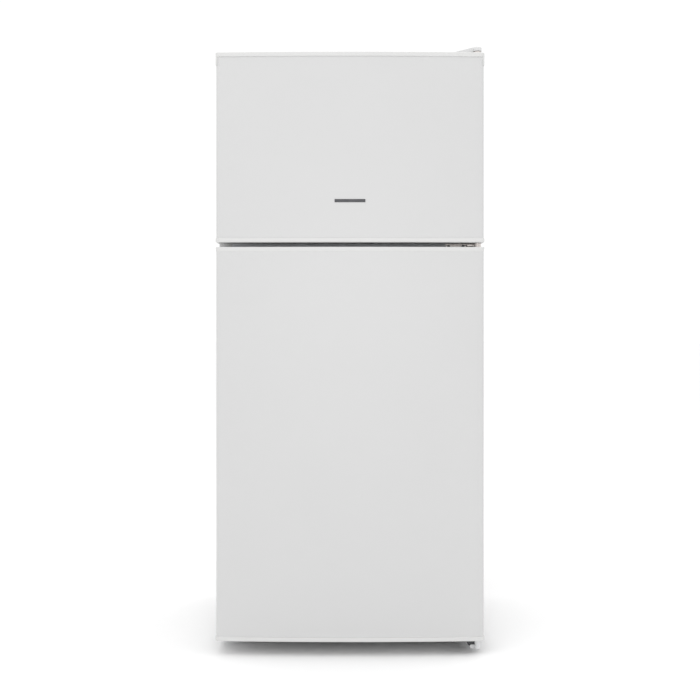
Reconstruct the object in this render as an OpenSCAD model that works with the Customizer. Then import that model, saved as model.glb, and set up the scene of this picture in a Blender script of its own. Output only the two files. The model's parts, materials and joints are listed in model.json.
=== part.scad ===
// Top freezer refrigerator, 540 mm class, in millimetres.
// +Z is up, the doors face -Y, and both doors hinge on the right (+X) side.
// The origin is on the floor, at the centre of the overall outline.

/* [Cabinet] */
// Width of the cabinet and of the door panels
cab_w = 540; // [480:1:660]
// Height of the cabinet's top panel above the floor
cab_top = 1219; // [1120:1:1500]
// Overall depth, from the door fronts to the rear spacers
depth = 600; // [540:1:720]
// Air space between the back panel and the wall, kept by the rear spacers
rear_gap = 38; // [34:1:60]
// Height of the cabinet's lower edge above the floor
cab_bottom = 25; // [25:1:30]
// Sheet metal thickness, as drawn
sheet_t = 1; // [0.8:0.1:1.4]
// Width of the steel flange round the cabinet's front
flange_w = 27; // [27:1:32]

/* [Insulation] */
// Side wall of the fridge compartment, outside to inside
fridge_wall = 45; // [40:1:60]
// Side wall and roof of the freezer compartment
freezer_wall = 55; // [45:1:70]
// Rear wall, outside to inside
back_wall = 47; // [40:1:70]
// Height of the insulated crossbar between the compartments
mullion_h = 56; // [56:1:70]
// Thickness of the plastic liners
liner_t = 2; // [1.5:0.5:3]
// Height of the fridge compartment's floor above the cabinet's lower edge
floor_h = 57; // [50:1:75]

/* [Doors] */
// Height of the lower edge of the fridge door above the floor
door_z = 30; // [28:1:36]
// Height of the fridge door
fridge_door_h = 794.3; // [660:0.1:960]
// Gap between the two doors
door_gap = 9.1; // [8.5:0.1:14]
// Clearance between the freezer door and the hinge plate above it
top_gap = 2.5; // [2:0.5:5]
// Thickness of the doors at their side edges
door_t = 52; // [46:1:66]
// How far the front bows out at its middle
door_bow = 8; // [4:1:14]
// Radius of the doors' upright front edges
door_edge_r = 6; // [4:1:10]
// Height of the end caps' front lip
cap_h = 9; // [8:0.5:14]
// How far the end caps stand proud of the door panel
cap_proud = 1.5; // [1:0.25:3]
// Height of the side tabs on the freezer door's top cap
tab_h = 26; // [18:1:36]
// Height of the inner panel's rim above the back of the door
dyke_h = 25; // [20:1:28]
// Width of the inner panel's rim
dyke_w = 20; // [16:1:26]
// Thickness of the closed gasket
gasket_t = 11; // [9:0.5:14]
// Width of the gasket
gasket_w = 14; // [12:1:14]
// Inset of the gasket from the upper and lower door edges
gasket_in = 9; // [9:0.5:10]
// Inset of the gasket from the door's sides
gasket_side = 13; // [12:0.5:13]

/* [Hinges] */
// Distance from the hinge axis to the cabinet's side
hinge_in = 11; // [10:1:16]
// Distance from the hinge axis to the front of the door's edge
hinge_back = 22; // [18:1:26]
// Diameter of the hinge pins
pin_d = 8; // [6:0.5:10]
// Radial clearance of a running fit
run_fit = 0.05; // [0.02:0.01:0.1]
// Thickness of the hinge plates
plate_t = 3; // [2.5:0.5:4]
// How deep a hinge pin goes into its door
pin_in = 20; // [14:1:24]

/* [Inside] */
// Thickness of the glass shelves
glass_t = 4; // [3:0.5:6]
// Height of the lower shelf above the fridge floor
shelf_lower_h = 350; // [290:1:400]
// Height of the upper shelf above the fridge floor
shelf_upper_h = 520; // [450:1:560]
// Height of the freezer shelf above the freezer floor
freezer_shelf_h = 150; // [90:1:180]
// Thickness of the drawer's and balconies' walls
bin_t = 2.5; // [2:0.5:4]
// Depth of the door balconies, from the inner panel
bin_d = 98; // [70:1:104]
// Height of the balconies' fronts
bin_h = 75; // [50:1:90]

/* [Machine] */
// Height of the compressor niche
niche_h = 205; // [195:1:240]
// Depth of the compressor niche
niche_d = 152; // [150:1:170]
// Diameter of the condenser's tube
tube_d = 5; // [4:0.5:6]
// Spacing of the condenser's runs
run_pitch = 60; // [50:1:80]
// Diameter of the compressor's shell
comp_d = 116; // [100:1:120]
// Diameter of the rear rollers
roller_d = 30; // [26:1:30]
// Diameter of the front feet
foot_d = 36; // [28:1:44]

/* [Hidden] */

$fn = 48;
eps = 0.01;
seat = 0.3; // gap left between pieces that move past each other
rim_gap = 12; // rim of a door's inner panel to the compartment's walls
back_flange = 14; // the shell's flange behind the back panel
shelf_gap = 1.5; // glass or wire shelf to the side walls
glass_in = [8, 10]; // glass behind the shelf's front line, and before the rear wall
rib_w = 8; // how far the shelf ribs stand out from the walls

// planes along Y, front to back
y_front = -depth / 2 + cap_proud;
y_edge = y_front + door_bow;
y_door = y_edge + door_t;
y_face = y_door + gasket_t;
y_back = depth / 2 - rear_gap;
y_inner = y_back - back_wall;

// half widths
half_w = cab_w / 2;
fridge_x = half_w - fridge_wall;
freezer_x = half_w - freezer_wall;
dyke_x = min(fridge_x, freezer_x) - rim_gap;
lip_x = half_w - gasket_side - 4;
bin_x = dyke_x - dyke_w - seat;

// levels along Z
fridge_door_top = door_z + fridge_door_h;
split_z = fridge_door_top + door_gap / 2;
freezer_door_z = fridge_door_top + door_gap;
freezer_door_top = cab_top - top_gap;
mullion_lo = split_z - mullion_h / 2;
mullion_hi = split_z + mullion_h / 2;
fridge_floor = cab_bottom + floor_h;
fridge_roof = mullion_lo - liner_t;
freezer_floor = mullion_hi + liner_t;
freezer_roof = cab_top - freezer_wall;
niche_top = cab_bottom + niche_h;
niche_y = y_back - niche_d;
step_wall = 40;
step_y = niche_y - step_wall;
step_top = niche_top + step_wall + liner_t;
rail_top = door_z + gasket_in + gasket_w + 1;

// hinge axis, on the right
axis_x = half_w - hinge_in;
axis_y = y_edge + hinge_back;

// door front bow
bow_r = (half_w * half_w + door_bow * door_bow) / (2 * door_bow);

module block(x, y, z) {
    translate([x[0], y[0], z[0]]) cube([x[1] - x[0], y[1] - y[0], z[1] - z[0]]);
}

module rod(r, z) {
    translate([0, 0, z[0]]) cylinder(r = r, h = z[1] - z[0]);
}

module at_hinge() {
    translate([axis_x, axis_y, 0]) children();
}

module mirror_x() {
    children();
    mirror([1, 0, 0]) children();
}

// rectangular frame standing in the XZ plane
module frame_xz(half, z, y, w) {
    difference() {
        block([-half, half], y, z);
        block([-half + w, half - w], [y[0] - 1, y[1] + 1], [z[0] + w, z[1] - w]);
    }
}

// ------------------------------------------------------------------ cabinet

module cabinet_shell() {
    color("whitesmoke") {
        mirror_x() {
            block([half_w - sheet_t, half_w], [y_face, y_back], [cab_bottom, cab_top]);
            block([half_w - flange_w, half_w - sheet_t + eps], [y_face, y_face + sheet_t],
                [cab_bottom, cab_top - eps]);
            block([half_w - back_flange, half_w - sheet_t + eps], [y_back - sheet_t, y_back],
                [cab_bottom, cab_top - eps]);
        }
        block([-half_w + eps, half_w - eps], [y_face, y_back], [cab_top - sheet_t, cab_top]);
        block([-half_w + flange_w - eps, half_w - flange_w + eps], [y_face, y_face + sheet_t],
            [cab_top - flange_w, cab_top - eps]);
    }
}

module back_panel() {
    color("lightgray") {
        x = half_w - back_flange - seat;
        block([-x, x], [y_back - sheet_t, y_back], [niche_top, cab_top - sheet_t]);
        for (z = [niche_top + 60 : 240 : cab_top - 120])
            block([-half_w + 40, half_w - 40], [y_back - eps, y_back + 2], [z, z + 14]);
    }
}

module foot_socket(r, z) {
    mirror_x() translate([foot_x, foot_y, 0]) rod(r, z);
}

// bottom sheet, stepped over the compressor niche, with sockets for the feet
module base_pan() {
    x = half_w - sheet_t;
    z = cab_bottom + 2;
    color("silver") difference() {
        union() {
            block([-x, x], [y_face + sheet_t, niche_y], [z, z + sheet_t]);
            block([-x, x], [niche_y - sheet_t, niche_y], [z, niche_top]);
            block([-x, x], [niche_y - sheet_t, y_back - sheet_t],
                [niche_top - sheet_t, niche_top]);
            foot_socket(stem_r + socket_wall, [z, foot_top + 2]);
        }
        foot_socket(stem_r + run_fit, [z - 1, foot_top + 1]);
    }
}

module evaporator_form() {
    x = freezer_x + liner_t + 1.5;
    difference() {
        block([-x, x], [y_inner - 260, y_inner + liner_t + 1.5],
            [freezer_floor + 20, freezer_roof - 20]);
        block([-x + 1.5, x - 1.5], [y_inner - 261, y_inner + liner_t],
            [freezer_floor + 10, freezer_roof - 10]);
    }
}

module evaporator() {
    color("lightsteelblue") evaporator_form();
}

module cabinet_foam() {
    z0 = cab_bottom + 2 + sheet_t;
    y0 = y_face + sheet_t;
    color("khaki") difference() {
        block([-half_w + sheet_t, half_w - sheet_t], [y0, y_back - sheet_t],
            [z0, cab_top - sheet_t]);
        block([-half_w + flange_w, half_w - flange_w], [y0 - 1, y_face + 2 * liner_t],
            [z0 - 1, cab_top - flange_w]);
        block([-half_w, half_w], [niche_y - sheet_t, y_back + 1], [z0 - 1, niche_top]);
        block([-freezer_x - liner_t, freezer_x + liner_t], [y0 - 1, y_inner + liner_t],
            [mullion_hi, freezer_roof + liner_t]);
        block([-fridge_x - liner_t, fridge_x + liner_t], [y0 - 1, y_inner + liner_t],
            [step_top - liner_t, mullion_lo]);
        block([-fridge_x - liner_t, fridge_x + liner_t], [y0 - 1, step_y + liner_t],
            [fridge_floor - liner_t, step_top]);
        evaporator_form();
        foot_socket(stem_r + socket_wall, [z0 - 1, foot_top + 2]);
    }
}

// crossbar between the compartments, with a screw boss strip behind it
module mullion_cover() {
    x = half_w - flange_w;
    color("slategray") difference() {
        block([-x, x], [y_face, y_face + 2 * liner_t], [mullion_lo, mullion_hi]);
        for (sx = mid_screw_x)
            translate([sx, y_face - 1, split_z]) rotate([-90, 0, 0]) cylinder(d = 4, h = 9);
    }
}

module front_rail() {
    x = half_w - flange_w;
    color("gainsboro") {
        block([-x, x], [y_face, y_face + sheet_t], [cab_bottom, rail_top]);
        block([-x, x], [y_face, y_face + 2 * liner_t], [rail_top - 4, rail_top]);
        block([-x, x], [y_face, y_face + sheet_t + 30], [cab_bottom, cab_bottom + 2]);
    }
}

// open-fronted liner with a front flange out to the steel
module liner_box(x, z, y1) {
    difference() {
        block([-x - liner_t, x + liner_t], [y_face, y1 + liner_t],
            [z[0] - liner_t, z[1] + liner_t]);
        block([-x, x], [y_face - 1, y1], z);
    }
}

module liner_flange(x, z, outer) {
    difference() {
        block([-half_w + flange_w, half_w - flange_w], [y_face, y_face + 2 * liner_t], outer);
        block([-x - liner_t, x + liner_t], [y_face - 1, y_face + 9],
            [z[0] - liner_t, z[1] + liner_t]);
    }
}

module shelf_ribs(x, zs, y) {
    for (z = zs) mirror_x() {
        block([x - rib_w, x + eps], y, [z - 6, z]);
        block([x - rib_w, x + eps], y, [z + glass_t + 3, z + glass_t + 6]);
    }
}

module freezer_liner() {
    z = [freezer_floor, freezer_roof];
    color("white") {
        liner_box(freezer_x, z, y_inner);
        liner_flange(freezer_x, z, [mullion_hi, cab_top - flange_w]);
        shelf_ribs(freezer_x, [freezer_floor + freezer_shelf_h], [y_shelf, y_inner + eps]);
    }
}

y_shelf = y_door + bin_d + 13;
shelf_zs = [fridge_floor + shelf_lower_h, fridge_floor + shelf_upper_h];

module fridge_liner() {
    z = [fridge_floor, fridge_roof];
    color("white") {
        difference() {
            union() {
                liner_box(fridge_x, z, y_inner);
                block([-fridge_x - eps, fridge_x + eps], [step_y, y_inner + liner_t],
                    [fridge_floor - liner_t, step_top]);
            }
            block([-half_w, half_w], [step_y + liner_t, y_inner + 99],
                [fridge_floor - 99, step_top - liner_t]);
        }
        liner_flange(fridge_x, z, [rail_top, mullion_lo]);
        shelf_ribs(fridge_x, shelf_zs, [y_shelf, y_inner + eps]);
        mirror_x() block([fridge_x - rib_w, fridge_x + eps], [y_shelf, step_y + eps],
            [crisper_cover_z - 6, crisper_cover_z]);
    }
}

// ------------------------------------------------------------------- inside

crisper_cover_z = step_top;
module glass_plate(x, y1, z) {
    color([0.80, 0.90, 0.88, 0.5])
        block([-x + shelf_gap, x - shelf_gap], [y_shelf + glass_in[0], y1 - glass_in[1]],
            [z, z + glass_t]);
}

module shelf_upper() {
    glass_plate(fridge_x, y_inner, shelf_zs[1]);
}

module shelf_lower() {
    glass_plate(fridge_x, y_inner, shelf_zs[0]);
}

module crisper_cover() {
    glass_plate(fridge_x, y_inner, crisper_cover_z);
}

// clip-on trim along a glass edge
module trim(x, y, z) {
    difference() {
        block([-x + rib_w + 1, x - rib_w - 1], y, [z - 5, z + glass_t + 2]);
        block([-x, x], [y_shelf + glass_in[0], y_inner - glass_in[1]], [z, z + glass_t]);
    }
}

module shelf_trims() {
    color("white") for (z = concat([crisper_cover_z], shelf_zs)) {
        trim(fridge_x, [y_shelf, y_shelf + 14], z);
        if (z != crisper_cover_z) trim(fridge_x, [y_inner - 16, y_inner - 2], z);
    }
}

// wire shelf of the freezer
module freezer_shelf() {
    z = freezer_floor + freezer_shelf_h;
    x = freezer_x - shelf_gap;
    y = [y_shelf + 4, y_inner - 6];
    color("gainsboro") {
        for (py = [y[0] + 2, (y[0] + y[1]) / 2, y[1] - 2])
            translate([-x, py, z + 2]) rotate([0, 90, 0]) cylinder(d = 4, h = 2 * x, $fn = 24);
        for (i = [-7 : 7])
            translate([i * (x - 2) / 7, y[0], z + 2]) rotate([-90, 0, 0])
                cylinder(d = 3, h = y[1] - y[0], $fn = 24);
    }
}

crisper_x = fridge_x - 24;
crisper_y = [y_shelf + 6, step_y - 8];
crisper_z = [fridge_floor + seat, crisper_cover_z - 12];

module crisper() {
    wall = bin_t;
    color([0.75, 0.84, 0.90, 0.6]) {
        difference() {
            block([-crisper_x, crisper_x], crisper_y, crisper_z);
            block([-crisper_x + wall, crisper_x - wall],
                [crisper_y[0] + 2 * wall, crisper_y[1] - wall],
                [crisper_z[0] + wall, crisper_z[1] + 1]);
        }
        block([-70, 70], [crisper_y[0] - 8, crisper_y[0] + eps],
            [crisper_z[1] - 14, crisper_z[1] - 10]);
        block([-70, 70], [crisper_y[0] - 8, crisper_y[0] - 5],
            [crisper_z[1] - 28, crisper_z[1] - 10]);
    }
}

ctl_y = [y_door + dyke_h + 25, y_door + dyke_h + 25 + 170];
ctl_z = [fridge_roof - 44, fridge_roof];
ctl_x = 120;
knob_x = 62;
knob_z = fridge_roof - 22;
knob_d = 34;
plunger_x = 100;
plunger_z = fridge_roof - 20;

module control_housing() {
    color("whitesmoke") difference() {
        block([-ctl_x, ctl_x], ctl_y, ctl_z);
        block([-ctl_x + 2, ctl_x - 2], [ctl_y[0] + 4, ctl_y[1] - 2], [ctl_z[0] + 2, ctl_z[1] + 1]);
        block([-95, 20], [ctl_y[0] + 20, ctl_y[1] - 20], [ctl_z[0] - 1, ctl_z[0] + 3]);
        translate([knob_x, ctl_y[0] - 1, knob_z]) rotate([-90, 0, 0])
            cylinder(d = 8 + 2 * run_fit, h = 6);
        translate([plunger_x, ctl_y[0] - 1, plunger_z]) rotate([-90, 0, 0])
            cylinder(d = 8 + 4 * run_fit, h = 6);
    }
}

module lamp_lens() {
    color([1, 1, 1, 0.7]) {
        block([-95, 20], [ctl_y[0] + 20, ctl_y[1] - 20], [ctl_z[0] - 2, ctl_z[0] + 2]);
        block([-85, 10], [ctl_y[0] + 30, ctl_y[1] - 30], [ctl_z[0] - 8, ctl_z[0] - 2 + eps]);
    }
}

module thermostat_knob() {
    color("silver") translate([knob_x, ctl_y[0], knob_z]) rotate([-90, 0, 0]) difference() {
        union() {
            translate([0, 0, -14]) cylinder(d = knob_d, h = 14 - seat);
            translate([0, 0, -seat - eps]) cylinder(d = 8, h = 16);
        }
        for (a = [0 : 30 : 359]) rotate([0, 0, a])
            translate([knob_d / 2 + 1.6, 0, -15]) cylinder(d = 5, h = 15, $fn = 24);
        translate([-1, -knob_d / 2 - 1, -15]) cube([2, 10, 3]);
    }
}

module switch_plunger() {
    tip = y_door + dyke_h + seat;
    color("white") translate([plunger_x, 0, plunger_z]) rotate([-90, 0, 0]) {
        translate([0, 0, tip]) cylinder(d = 8, h = ctl_y[0] + 20 - tip);
        translate([0, 0, ctl_y[0] + 12]) cylinder(d = 12, h = 4);
    }
}

// ------------------------------------------------------------------ machine

deck_z = cab_bottom + 7;
comp_y = y_back - niche_d / 2;
comp_x = -20;
comp_base = deck_z + 2 + 12;
comp_h = 142;
mount_x = 90;
mount_y = 50;
roller_x = half_w - 34;
roller_y = y_back - 26;
roller_w = 20;
axle_d = 6;

module compressor_plate() {
    cheek = 2;
    color("silver") difference() {
        union() {
            block([-half_w + sheet_t, half_w - sheet_t], [niche_y, y_back - sheet_t],
                [deck_z, deck_z + 2]);
            for (side = [-1, 1]) for (c = [-1, 1])
                translate([side * roller_x + c * (roller_w / 2 + 1 + cheek / 2), roller_y, 0])
                    block([-cheek / 2, cheek / 2], [-11, 11], [7, deck_z + eps]);
        }
        for (sx = [-1, 1]) for (sy = [-1, 1])
            translate([comp_x + sx * mount_x, comp_y + sy * mount_y, 0])
                rod(3.2, [deck_z - 1, deck_z + 3]);
        for (side = [-1, 1]) translate([side * roller_x - 20, roller_y, roller_d / 2])
            rotate([0, 90, 0]) cylinder(d = axle_d, h = 40);
    }
}

module roller_axles() {
    color("silver") for (side = [-1, 1])
        translate([side * roller_x - roller_w / 2 - 5, roller_y, roller_d / 2])
            rotate([0, 90, 0]) {
                cylinder(d = axle_d, h = roller_w + 10);
                translate([0, 0, -1.5]) cylinder(d = axle_d + 3, h = 1.5 + eps);
            }
}

module roller(side) {
    color("dimgray") translate([side * roller_x - roller_w / 2, roller_y, roller_d / 2])
        rotate([0, 90, 0]) difference() {
            cylinder(d = roller_d, h = roller_w);
            translate([0, 0, -1]) cylinder(d = axle_d + 2 * run_fit, h = roller_w + 2);
            for (z = [-1, roller_w - 2]) translate([0, 0, z]) difference() {
                cylinder(d = roller_d - 6, h = 3);
                translate([0, 0, -1]) cylinder(d = axle_d + 6, h = 5);
            }
        }
}

module compressor_mounts() {
    color("dimgray") for (sx = [-1, 1]) for (sy = [-1, 1])
        translate([comp_x + sx * mount_x, comp_y + sy * mount_y, 0]) difference() {
            union() {
                rod(8, [deck_z + 2, comp_base]);
                rod(11, [deck_z + 2, deck_z + 5]);
                rod(3.2, [deck_z - 3, deck_z + 2 + eps]);
                rod(5.5, [comp_base - eps, comp_base + 2 + 3]);
            }
            rod(2, [deck_z - 4, comp_base + 9]);
        }
}

module compressor() {
    color([0.12, 0.12, 0.13]) difference() {
        union() {
            translate([comp_x, comp_y, 0]) {
                rod(comp_d / 2, [comp_base + 12, comp_base + comp_h - 26]);
                translate([0, 0, comp_base + comp_h - 26]) intersection() {
                    sphere(r = comp_d / 2, $fn = 96);
                    rod(comp_d, [-eps, 26]);
                }
                rod(comp_d / 2 + 3, [comp_base + 62, comp_base + 66]);
                rod(comp_d / 2 - 8, [comp_base, comp_base + 12 + eps]);
            }
            for (sy = [-1, 1]) translate([comp_x, comp_y + sy * mount_y, 0])
                block([-mount_x - 12, mount_x + 12], [-11, 11], [comp_base, comp_base + 2]);
            for (p = stubs) translate([comp_x, p[0], p[1]]) rotate([0, 90, 0])
                cylinder(d = line_d + 3, h = stub_x - comp_x);
        }
        for (sx = [-1, 1]) for (sy = [-1, 1])
            translate([comp_x + sx * mount_x, comp_y + sy * mount_y, 0])
                rod(5.5, [comp_base - 1, comp_base + 3]);
    }
}

// starter cover on the compressor's left side, with a gland for the supply
gland_y = 14;

module starter_box() {
    x1 = comp_x - comp_d / 2 - 3;
    z = [comp_base + 20, comp_base + 58];
    color([0.16, 0.16, 0.17]) difference() {
        union() {
            block([x1 - 42, x1 - seat], [comp_y - 30, comp_y + 30], z);
            translate([x1 - 21, comp_y + 30 - eps, z[0] + 18]) rotate([-90, 0, 0])
                cylinder(d = 16, h = gland_y);
        }
        translate([x1 - 21, comp_y + 20, z[0] + 18]) rotate([-90, 0, 0])
            cylinder(d = 8, h = gland_y + 20);
    }
}

module drip_pan() {
    z0 = comp_base + comp_h + 2;
    color("gainsboro") translate([comp_x, comp_y, z0]) difference() {
        block([-80, 80], [-48, 48], [0, 18]);
        block([-78, 78], [-46, 46], [2, 19]);
    }
}

cond_x = half_w - 45;
cond_y = y_back + 14;
cond_z0 = niche_top + 30;
runs = 2 * floor((cab_top - 70 - cond_z0) / (2 * run_pitch)) + 1;
cond_z1 = cond_z0 + (runs - 1) * run_pitch;
bend_x = cond_x - run_pitch / 2;

module condenser_tube() {
    color([0.10, 0.10, 0.11]) {
        for (i = [0 : runs - 1])
            translate([-bend_x, cond_y, cond_z0 + i * run_pitch]) rotate([0, 90, 0])
                cylinder(d = tube_d, h = 2 * bend_x, $fn = 24);
        for (i = [0 : runs - 2]) {
            side = i % 2 == 0 ? 1 : -1;
            translate([side * bend_x, cond_y, cond_z0 + (i + 0.5) * run_pitch])
                rotate([90, 0, 0]) rotate([0, 0, side > 0 ? -90 : 90])
                    rotate_extrude(angle = 180, $fn = 64)
                        translate([run_pitch / 2, 0]) circle(d = tube_d, $fn = 24);
        }
    }
}

wire_d = 1.6;
wire_n = 18;

module condenser_wires() {
    color([0.10, 0.10, 0.11]) for (face = [-1, 1]) for (i = [0 : wire_n - 1])
        translate([-bend_x + (i + 0.5) * 2 * bend_x / wire_n,
            cond_y + face * (tube_d + wire_d) / 2, cond_z0 - 6])
            cylinder(d = wire_d, h = cond_z1 - cond_z0 + 12, $fn = 16);
}

spacer_zs = [cond_z0 + run_pitch, cond_z1 - run_pitch];

// wall spacers, each with an arm that clips over a run of the condenser
module rear_spacers() {
    foot_x0 = half_w - 34;
    color([0.13, 0.13, 0.14]) difference() {
        for (z = spacer_zs) mirror_x() translate([0, 0, z]) {
            block([foot_x0, foot_x0 + 24], [y_back, y_back + 4], [-20, 20]);
            block([foot_x0 + 8, foot_x0 + 16], [y_back + 4 - eps, depth / 2], [-14, 14]);
            block([bend_x - 6, foot_x0 + 8 + eps], [cond_y - 5, cond_y + 5], [-5, 5]);
        }
        condenser_tube();
    }
}

drier_x = 150;
drier_z = niche_top - 104;

module filter_drier() {
    color("peru") translate([drier_x, y_back - 30, drier_z]) {
        rod(9, [0, 70]);
        translate([0, 0, 70 - eps]) cylinder(r1 = 9, r2 = 3, h = 10);
        translate([0, 0, -10]) cylinder(r1 = 3, r2 = 9, h = 10 + eps);
    }
}

// round pipe through a list of points, with ball corners
module pipe(points, d) {
    for (i = [0 : len(points) - 2]) {
        a = points[i];
        b = points[i + 1];
        v = b - a;
        l = norm(v);
        translate(a) rotate([0, acos(v[2] / l), atan2(v[1], v[0])])
            cylinder(d = d, h = l, $fn = 24);
        if (i > 0) translate(a) sphere(d = d, $fn = 24);
    }
}

line_d = 6;
stub_x = comp_x + comp_d / 2 + 8;
stubs = [[comp_y, comp_base + 90], [comp_y - 22, comp_base + 50]];
rise_x = comp_x + 80 + 14;

// discharge line to the condenser, return by way of the drier, capillary and suction line
module refrigerant_lines() {
    dry_y = y_back - 30;
    out_x = rise_x + 24;
    cross_z = niche_top + 6;
    end_x = bend_x + 12;
    side_x = bend_x + run_pitch / 2 + 6;
    side_y = y_back + 5;
    turn_z = drier_z + 90;
    color("peru") {
        pipe([[stub_x, stubs[0][0], stubs[0][1]], [out_x, stubs[0][0], stubs[0][1]],
            [out_x, cond_y, stubs[0][1]], [out_x, cond_y, cross_z],
            [-end_x, cond_y, cross_z], [-end_x, cond_y, cond_z0],
            [-bend_x, cond_y, cond_z0]], line_d);
        pipe([[bend_x, cond_y, cond_z1], [side_x, cond_y, cond_z1],
            [side_x, side_y, cond_z1 - 9], [side_x, side_y, turn_z],
            [side_x, dry_y, turn_z], [drier_x, dry_y, turn_z],
            [drier_x, dry_y, drier_z + 80 - eps]], line_d - 2);
        pipe([[drier_x, dry_y, drier_z - 10], [drier_x, dry_y, drier_z - 25],
            [drier_x, dry_y - 18, drier_z - 25], [drier_x, dry_y - 18, niche_top - sheet_t]],
            line_d - 3);
        pipe([[stub_x, stubs[1][0], stubs[1][1]], [rise_x, stubs[1][0], stubs[1][1]],
            [rise_x, stubs[1][0], niche_top - sheet_t]], line_d);
    }
}

// ------------------------------------------------------------------- hinges

mid_screw_x = [half_w - 66.7, half_w - 36.8];
mid_plate_x = [half_w - 73, half_w - 6];
collar_r = pin_d / 2 + 3.25;
boss_r = 8.5;
cover_x = [half_w - 57, axis_x + boss_r];
cover_top = cab_top + 12.5;
top_screw_y = [y_face + 22, y_face + 52];
top_screw_x = half_w - 32;
low_screw_y = [y_face + 18, y_face + 52];
low_screw_x = half_w - 14;

module top_hinge() {
    z = [cab_top, cab_top + plate_t];
    color("silver") difference() {
        union() {
            block([half_w - 46, half_w - 8], [y_face + 4, y_face + 68], z);
            block([axis_x - 14, axis_x + 6], [axis_y, y_face + 4 + eps], z);
            at_hinge() {
                rod(boss_r - 1, z);
                rod(pin_d / 2, [freezer_door_top - pin_in, z[1]]);
            }
        }
        for (y = top_screw_y) translate([top_screw_x, y, 0]) rod(2.5, [z[0] - 1, z[1] + 1]);
    }
}

// wedge-shaped cover with a round boss over the pin
module cover_profile(grow) {
    polygon([
        [cover_x[0] + grow, cab_top],
        [cover_x[0] + grow, cab_top + 3 - grow / 2],
        [axis_x - boss_r, cover_top - grow],
        [cover_x[1] - grow, cover_top - grow],
        [cover_x[1] - grow, cab_top]
    ]);
}

module top_hinge_cover() {
    shell = 1.4;
    color("ghostwhite") difference() {
        union() {
            translate([0, y_face + 76, 0]) rotate([90, 0, 0])
                linear_extrude(y_face + 76 - axis_y) cover_profile(0);
            at_hinge() rod(boss_r, [cab_top, cover_top]);
        }
        translate([0, y_face + 76 - shell, 0]) rotate([90, 0, 0])
            linear_extrude(y_face + 76 - shell - axis_y) translate([0, -eps])
                cover_profile(shell);
        at_hinge() rod(boss_r + 0.4 - shell, [cab_top - 1, cover_top - shell]);
        block([axis_x - boss_r - seat, cover_x[1] + 1], [axis_y - 10, y_face - 1],
            [cab_top - 1, cab_top + plate_t + 1]);
    }
}

module mid_hinge() {
    plate_z = [split_z - 12, split_z + 12];
    tongue = [split_z - plate_t / 2, split_z + plate_t / 2];
    color("silver") difference() {
        union() {
            block(mid_plate_x, [y_face - plate_t, y_face], plate_z);
            block([half_w - 31, mid_plate_x[1]], [axis_y + 4, y_face - plate_t + eps], tongue);
            at_hinge() {
                rod(collar_r, [fridge_door_top + seat, freezer_door_z - seat]);
                rod(pin_d / 2, [fridge_door_top - pin_in, freezer_door_z + pin_in]);
            }
        }
        for (x = mid_screw_x) translate([x, y_face - plate_t - 1, split_z])
            rotate([-90, 0, 0]) cylinder(d = 4.2, h = plate_t + 2);
    }
}

// lower bracket: a level arm under the door, a gusset below it and the hinge pin
low_arm = [door_z - 8, door_z - 8 + plate_t];
gusset_y = axis_y + 12;
low_end = 8;

module bottom_hinge() {
    color("dimgray") difference() {
        union() {
            block([half_w - 60, half_w - 6], [axis_y + 2, y_face + 60], low_arm);
            translate([0, gusset_y, 0]) rotate([90, 0, 0]) linear_extrude(plate_t)
                polygon([[axis_x - 25, low_arm[1]], [axis_x - 4, low_arm[1]],
                    [axis_x - 4, low_end], [axis_x - 13, low_end]]);
            at_hinge() rod(pin_d / 2, [low_end + 3, door_z + pin_in]);
        }
        for (y = low_screw_y) translate([low_screw_x, y, 0])
            rod(2.5, [low_arm[0] - 1, low_arm[1] + 9]);
    }
}

// pan-head screw along +Z, its head's underside at the origin
module screw(d, head, len) {
    translate([0, 0, -len]) cylinder(d = d, h = len + eps);
    difference() {
        cylinder(d = head, h = 2.4);
        translate([-0.6, -head / 2 - 1, 1.5]) cube([1.2, head + 2, 2]);
        translate([-head / 2 - 1, -0.6, 1.5]) cube([head + 2, 1.2, 2]);
    }
}

module hinge_screws() {
    color("dimgray") {
        for (x = mid_screw_x) translate([x, y_face - plate_t, split_z])
            rotate([90, 0, 0]) screw(4, 6, plate_t + 3.5);
        for (y = low_screw_y) translate([low_screw_x, y, low_arm[0]])
            rotate([180, 0, 0]) screw(5, 9, plate_t);
        for (y = top_screw_y) translate([top_screw_x, y, cab_top + plate_t])
            screw(5, 9, plate_t);
    }
}

// plugs in the unused top screw holes on the left, and the caps of the lower hinge
module hole_plugs() {
    knob_r = 4;
    cup_r = [pin_d / 2 + 0.6, pin_d / 2 + 2.6];
    color("gainsboro") {
        for (y = top_screw_y) translate([-top_screw_x, y, cab_top])
            cylinder(d = 12, h = 1.4);
        translate([axis_x - 9, gusset_y - plate_t - 4, low_end + knob_r]) rotate([-90, 0, 0]) {
            for (x = [-2, 2]) translate([x, 0, 0]) cylinder(r = knob_r, h = 4);
            translate([-2, -knob_r, 0]) cube([4, 2 * knob_r, 4]);
        }
        difference() {
            at_hinge() translate([0, 0, low_end + 1])
                cylinder(r1 = cup_r[0], r2 = cup_r[1], h = door_z - seat - low_end - 1);
            at_hinge() rod(pin_d / 2, [low_end + 3, door_z + 1]);
            block([0, half_w], [axis_y + 2, y_face], low_arm);
        }
    }
}

foot_x = half_w - 45;
foot_y = y_face + 72;
foot_top = cab_bottom + 14;
stem_r = 5;
socket_wall = 4;

module foot(side) {
    color([0.16, 0.16, 0.17]) translate([side * foot_x, foot_y, 0]) {
        difference() {
            rod(foot_d / 2, [0, 9]);
            for (a = [0 : 45 : 359]) rotate([0, 0, a])
                translate([foot_d / 2 + 2, 0, -1]) cylinder(d = 8, h = 11, $fn = 24);
        }
        rod(foot_d / 2 - 6, [9 - eps, 12]);
        rod(stem_r, [12 - eps, foot_top]);
    }
}

// -------------------------------------------------------------------- doors

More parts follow.
